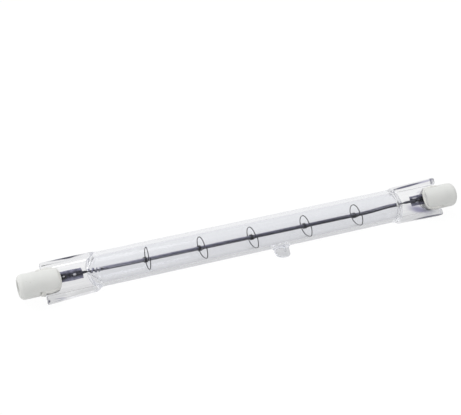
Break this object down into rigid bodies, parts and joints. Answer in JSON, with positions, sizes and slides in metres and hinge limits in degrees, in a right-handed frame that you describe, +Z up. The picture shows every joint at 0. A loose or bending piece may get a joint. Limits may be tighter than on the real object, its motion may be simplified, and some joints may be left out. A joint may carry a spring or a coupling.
{
  "type": "linear halogen bulb",
  "caption": "Slim clear quartz tube lamp with a coiled filament along its axis, flattened sealed ends and a round ceramic contact cap at each end.",
  "frame": {"origin": "on the surface it lies on, below the middle of its outline", "axes": "+X along the tube towards the right-hand end, the end nearer to the exhaust tip; +Z up from the surface; the exhaust tip leans on the surface towards -Y"},
  "size_m": [0.1166, 0.0112, 0.0086],
  "materials": {
    "quartz": "clear fused quartz",
    "cap_ceramic": "matt unglazed off-white",
    "contact_nickel": "satin nickel",
    "cement": "matt creamy cement",
    "molybdenum_foil": "dull bluish grey",
    "molybdenum_wire": "dull dark grey",
    "tungsten_coil": "satin dark grey coil",
    "tungsten_wire": "satin dark grey wire"
  },
  "bodies": {
    "root": {"quartz_envelope": "quartz", "ceramic_cap_left": "cap_ceramic", "contact_left": "contact_nickel", "cap_cement_left": "cement", "sealing_foil_left": "molybdenum_foil", "outer_lead_left": "molybdenum_wire", "inner_lead_left": "molybdenum_wire", "ceramic_cap_right": "cap_ceramic", "contact_right": "contact_nickel", "cap_cement_right": "cement", "sealing_foil_right": "molybdenum_foil", "outer_lead_right": "molybdenum_wire", "inner_lead_right": "molybdenum_wire", "filament": "tungsten_coil", "filament_support_1": "tungsten_wire", "filament_support_2": "tungsten_wire", "filament_support_3": "tungsten_wire", "filament_support_4": "tungsten_wire", "filament_support_5": "tungsten_wire"}
  },
  "joints": []
}
